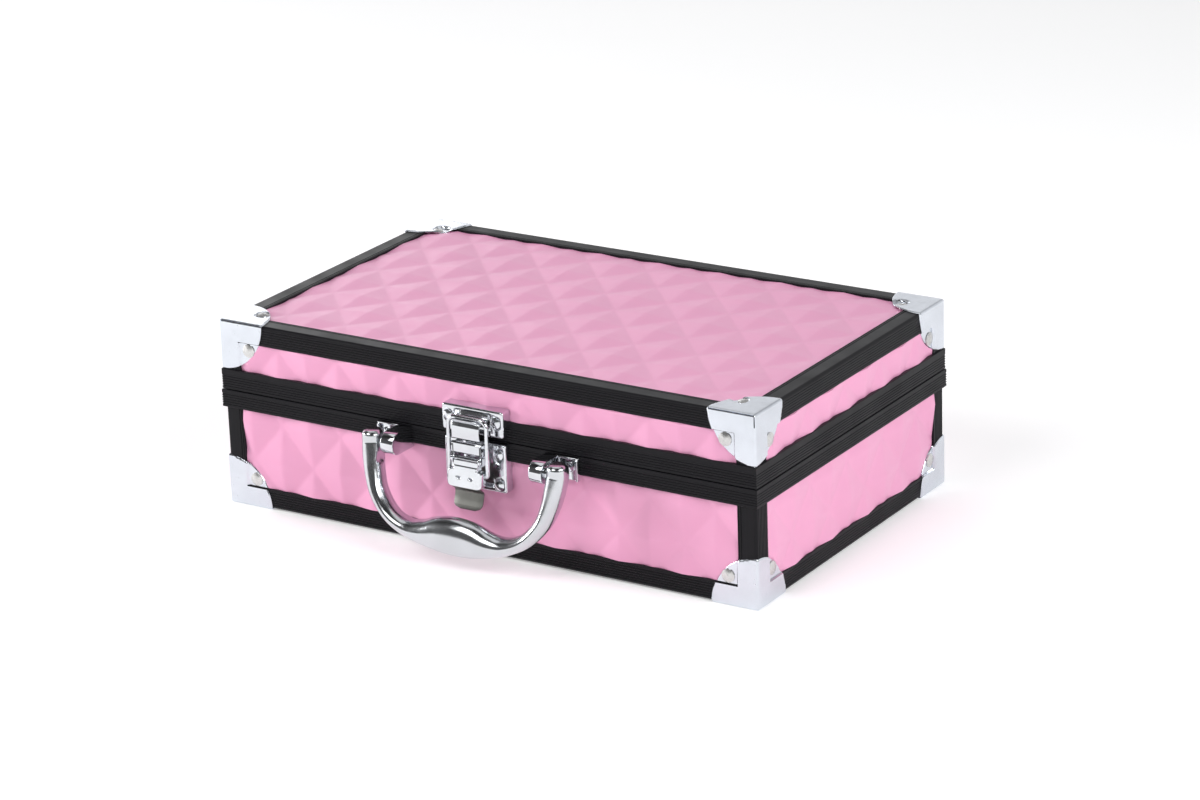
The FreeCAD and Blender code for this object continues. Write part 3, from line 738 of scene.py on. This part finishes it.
def lever_rows():
    rows = []
    count = 48
    for k in range(count + 1):
        z = lever_top - (lever_top - lever_low) * k / count
        half = lever_half(z)
        down = (lever_top - z) / (lever_top - lever_low)
        face = lever_face["top"] + (lever_face["low"] - lever_face["top"]) * down
        face -= 0.12 * math.exp(-((z - 44.6) / 0.25) ** 2)
        bend = 0.8
        deep = side_deep if z > lever_low + 0.4 else 2.0
        row = [(-half, face - deep), (-half, face - deep / 2), (-half, face - bend)]
        row += [(-half + bend * (1 - math.cos(a)), face - bend * (1 - math.sin(a)))
                for a in (0.39, 0.79, 1.18, 1.57)]
        flat = 40
        row += [(-half + bend + (2 * half - 2 * bend) * i / flat, face) for i in range(1, flat)]
        row += [(-x, d) for x, d in reversed(row[:7])]
        rows.append([(x, out(d + lance(x, z)), z) for x, d in row])
    return rows


rows = lever_rows()
wide = len(rows[0])
faces = [(j * wide + i, j * wide + i + 1, (j + 1) * wide + i + 1, (j + 1) * wide + i)
         for j in range(len(rows) - 1) for i in range(wide - 1)]
lever = make_piece("lever_channel", [p for row in rows for p in row], faces, "latch_lever",
                   latch_plate, ["latch_lever"])
clean_sheet(lever, (0, out(200), 40), lever_sheet)

grey_leaf = bright_plated("grey_leaf", (0.20, 0.20, 0.185), (0.42, 0.56), 0.00004, 0.85)
tab_corner = 3.5


def tab_narrow(to_end):
    short = tab_corner - min(to_end, tab_corner)
    return tab_corner - math.sqrt(max(0.0, tab_corner ** 2 - short ** 2))


leaf_corners = [(12.3, 38.6, 1), (12.6, 35.2, 1.0), (9.4, 32.3, 1.2), (10.1, 28.6, 8.0), (11.4, 26.5, 1),
                (11.6, 25.6, 0.5), (11.7, 24.65, 1)]
leaf = bent_strip("finger_leaf", leaf_corners, 7.25, 0.55, "latch_lever", grey_leaf,
                  tab_narrow, 0.08)
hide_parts("finger_tab")

wire_r = 0.95
wire_x = 9.7
wire_foot = Vector((9.5, 40.3))
wire_head = Vector((9.0, 65.0))


def wire_points():
    """Middle line of the loop: turned-in feet, two legs, and a top bar with round corners."""
    along = wire_head - wire_foot
    head_r, foot_r = 3.4, 1.0
    right_side = [(7.3, 0.0)]
    right_side += [(wire_x - foot_r + foot_r * math.sin(a), foot_r * (1 - math.cos(a)))
                   for a in [math.pi / 2 * k / 6 for k in range(7)]]
    right_side += [(wire_x - head_r + head_r * math.cos(a), along.length - head_r + head_r * math.sin(a))
                   for a in [math.pi / 2 * k / 8 for k in range(9)]]
    line = right_side + [(-x, run) for x, run in reversed(right_side)]
    way = along.normalized()
    return [Vector((x, out(wire_foot.x + way.x * run), wire_foot.y + way.y * run)) for x, run in line]


def tube(name, line, r, body, material, stands_for):
    """Round wire along a line, with its ends closed."""
    rings = []
    side = Vector((0, 1, 0))
    for k, p in enumerate(line):
        way = (line[min(k + 1, len(line) - 1)] - line[max(k - 1, 0)]).normalized()
        side = (side - way * side.dot(way)).normalized()
        up = way.cross(side)
        rings.append([p + r * (side * math.cos(a) + up * math.sin(a))
                      for a in [math.pi / 10 * n for n in range(20)]])
    points, faces = lofted(rings)
    return make_piece(name, points, faces, body, material, stands_for)


tube("wire_loop", wire_points(), wire_r, "latch_loop", latch_plate, ["latch_wire_loop"])

# ---- handle brackets ------------------------------------------------------------------
# Bright plated castings: a thick round-nosed lug inside the arm, and a thin pan behind the
# arm's end with its outer and top rims turned up.

cast_plate = bright_plated("cast_plate", (0.70, 0.715, 0.745), (0.06, 0.14), 0.00005)
handle_joint = next(j for j in frame["joints"] if j["name"] == "handle_swing")
arm_out = front + lip_back - handle_joint["pos_m"][1] / MM
arm_z = handle_joint["pos_m"][2] / MM
lug_r = 5.0

for sign, side in ((-1, "left"), (1, "right")):
    low, high = (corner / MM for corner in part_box("handle_bracket_" + side))
    lug_x = sorted((sign * 34.5, sign * 41.0))
    outline = [(1.15, arm_z + lug_r), (1.15, base_rail_low - 0.05),
               (behind_face, base_rail_low - 0.05), (behind_face, arm_z - lug_r)]
    outline += arc_points((arm_out, arm_z), lug_r, -90, 90, 20)
    lug = side_plate("bracket_lug_" + side, outline, *lug_x, "base", "bracket_chrome", cast_plate, 0.45)
    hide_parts("handle_bracket_" + side)
    pan_x = sorted((sign * 40.0, sign * 50.3))
    pan = [(1.12, 43.2), (1.12, 53.6), (2.0, 53.6), (2.0, 43.2)]
    side_plate("bracket_pan_" + side, pan, *pan_x, "base", "bracket_chrome", cast_plate, 0.2)
    rim_x = sorted((sign * 50.1, sign * 51.0))
    rim = [(1.12, 43.2), (1.12, 53.6), (2.6, 53.6), (3.6, 52.6), (3.6, 43.5), (3.3, 43.2)]
    side_plate("bracket_rim_" + side, rim, *rim_x, "base", "bracket_chrome", cast_plate, 0.2)
    top_x = sorted((sign * 40.0, sign * 50.9))
    top_rim = [(1.12, 52.7), (1.12, 53.6), (3.0, 53.6), (3.2, 53.4), (3.2, 52.9), (3.0, 52.7)]
    side_plate("bracket_top_rim_" + side, top_rim, *top_x, "base", "bracket_chrome", cast_plate, 0.15)

for name in ("bracket_rivets", "handle_pins"):
    nodes[name].data.materials.clear()
    nodes[name].data.materials.append(cast_plate)

# ---- handle ---------------------------------------------------------------------------
# One bright plated casting: flat-faced arm ends on the pins, slim arms that lean outwards,
# and a swollen oval grip.

arm_face = 42.6
half_handle = [(47.1, 53.9, 3.4, 3.4), (47.1, 53.7, 6.0, 6.4), (47.1, 53.1, 7.9, 8.5),
               (47.1, 51.9, 9.1, 9.8), (47.0, 48.5, 9.4, 10.1), (46.3, 42.9, 9.3, 10.4),
               (44.8, 35.4, 8.3, 10.5), (41.5, 27.2, 7.1, 10.5), (34.5, 19.6, 6.4, 10.5),
               (25.5, 15.5, 7.6, 10.8), (16.7, 14.6, 11.6, 11.6), (8.3, 15.1, 16.1, 12.4)]
grip_middle = (0.0, 15.3, 17.5, 12.8)


def handle_lean(z):
    t = max(0.0, (arm_z - z) / 37.0)
    return 12.3 + 7.2 * t + 2.1 * t * t


def smooth_through(stations, between):
    """Catmull-Rom line through stations of several numbers each."""
    line = []
    n = len(stations)
    for k in range(n - 1):
        p0, p1, p2, p3 = (stations[min(max(i, 0), n - 1)] for i in (k - 1, k, k + 1, k + 2))
        for step in range(between):
            t = step / between
            line.append([0.5 * (2 * b + (c - a) * t + (2 * a - 5 * b + 4 * c - d) * t * t
                                + (3 * b - a - 3 * c + d) * t ** 3) for a, b, c, d in zip(p0, p1, p2, p3)])
    line.append(list(stations[-1]))
    return line


stations = half_handle + [grip_middle] + [(-x, z, b, t) for x, z, b, t in reversed(half_handle)]
line = smooth_through(stations, 7)
places = [Vector((x, out(handle_lean(z)), z)) for x, z, b, t in line]
rings = []
for k, (x, z, breadth, thick) in enumerate(line):
    ahead = (places[min(k + 1, len(line) - 1)] - places[max(k - 1, 0)]).normalized()
    thick_way = (Vector((0, 1, 0)) - ahead * ahead.y).normalized()
    broad_way = ahead.cross(thick_way)
    ring = []
    for a in [math.pi / 20 * n for n in range(40)]:
        p = places[k] + broad_way * (breadth / 2 * math.cos(a)) + thick_way * (thick / 2 * math.sin(a))
        if p.z > 40.6 and abs(p.x) < arm_face:
            p.x = math.copysign(arm_face, p.x)
        ring.append(p)
    rings.append(ring)
points, faces = lofted(rings)
# Painted shade: the handle's plating is darker than the brackets' plating, standing in for the dark room that
# the polished grip mirrors.
handle_plate_painted_shade = bright_plated("handle_plate_painted_shade", (0.62, 0.635, 0.66), (0.14, 0.22), 0.00001)
make_piece("handle_casting", points, faces, "handle", handle_plate_painted_shade, ["handle"], sharp=50)

# ---- floor, light and camera ----------------------------------------------------------
# White table lit a little from below, a bright wall behind, soft boxes round the case, and
# the room left dark in front, which is what the polished parts mirror.

floor_mesh = bpy.data.meshes.new("floor")
reach = 6.0
floor_corners = [(-reach, -reach, 0), (reach, -reach, 0), (reach, reach, 0), (-reach, reach, 0)]
floor_mesh.from_pydata(floor_corners, [], [(0, 1, 2, 3)])
floor = bpy.data.objects.new("floor", floor_mesh)
bpy.context.scene.collection.objects.link(floor)
material, tree, shader = new_material("white_sweep")
whites = mixed(tree, noise(tree, 3, 2), (0.93, 0.93, 0.935), (0.95, 0.95, 0.955))
tree.links.new(whites, shader.inputs["Base Color"])
shader.inputs["Roughness"].default_value = 0.9
shader.inputs["Specular IOR Level"].default_value = 0.1
shader.inputs["Emission Color"].default_value = (1.0, 1.0, 1.0, 1)
shader.inputs["Emission Strength"].default_value = 0.26
floor_mesh.materials.append(material)

world = bpy.data.worlds.new("studio")
bpy.context.scene.world = world
world.use_nodes = True
tree = world.node_tree
background = tree.nodes["Background"]
place = tree.nodes.new("ShaderNodeTexCoord")
split = tree.nodes.new("ShaderNodeSeparateXYZ")
tree.links.new(place.outputs["Generated"], split.inputs["Vector"])
backness = tree.nodes.new("ShaderNodeMapRange")
backness.inputs["From Min"].default_value = -0.15
backness.inputs["From Max"].default_value = 0.35
backness.inputs["To Min"].default_value = 0.10
backness.inputs["To Max"].default_value = 1.0
tree.links.new(split.outputs["Y"], backness.inputs["Value"])
lowness = tree.nodes.new("ShaderNodeMapRange")
lowness.inputs["From Min"].default_value = 0.30
lowness.inputs["From Max"].default_value = 0.75
lowness.inputs["To Min"].default_value = 1.0
lowness.inputs["To Max"].default_value = 0.25
tree.links.new(split.outputs["Z"], lowness.inputs["Value"])
strength = tree.nodes.new("ShaderNodeMath")
strength.operation = "MULTIPLY"
tree.links.new(backness.outputs["Result"], strength.inputs[0])
tree.links.new(lowness.outputs["Result"], strength.inputs[1])
tree.links.new(strength.outputs["Value"], background.inputs["Strength"])
background.inputs["Color"].default_value = (0.98, 0.985, 1.0, 1)


def soft_box(name, place, wide, high, power, colour=(1, 1, 1)):
    light = bpy.data.lights.new(name, "AREA")
    light.shape = "RECTANGLE"
    light.size = wide
    light.size_y = high
    light.energy = power
    light.color = colour
    lamp = bpy.data.objects.new(name, light)
    bpy.context.scene.collection.objects.link(lamp)
    lamp.location = place
    lamp.rotation_euler = (Vector((0, 0, 0.04)) - Vector(place)).to_track_quat("-Z", "Y").to_euler()
    return lamp


soft_box("overhead", (-0.2, 0.35, 1.6), 1.6, 1.0, 4)
soft_box("key_right", (1.5, -0.5, 1.0), 1.0, 0.9, 20)
soft_box("front_high", (-0.5, -1.5, 1.6), 1.0, 0.9, 14)
soft_box("key_left", (-1.9, -0.8, 0.5), 0.6, 0.6, 32)
soft_box("back_low", (-1.5, 1.3, 0.6), 0.9, 0.6, 2)

azimuth, elevation, roll = (math.radians(a) for a in (32.722, 19.888, -1.998))
back_way = Vector((math.sin(azimuth) * math.cos(elevation), -math.cos(azimuth) * math.cos(elevation),
                   math.sin(elevation)))
right_way = Vector((math.cos(azimuth), math.sin(azimuth), 0))
up_way = back_way.cross(right_way)
camera_x = right_way * math.cos(roll) + up_way * math.sin(roll)
camera_y = up_way * math.cos(roll) - right_way * math.sin(roll)
camera_data = bpy.data.cameras.new("camera")
camera_data.sensor_width = 36
camera_data.lens = 120.25
camera = bpy.data.objects.new("camera", camera_data)
bpy.context.scene.collection.objects.link(camera)
axes = Matrix((camera_x, camera_y, back_way)).transposed().to_4x4()
camera.matrix_world = Matrix.Translation((0.90637, -1.38686, 0.64609)) @ axes
bpy.context.scene.camera = camera
bpy.context.scene.view_settings.view_transform = "Standard"
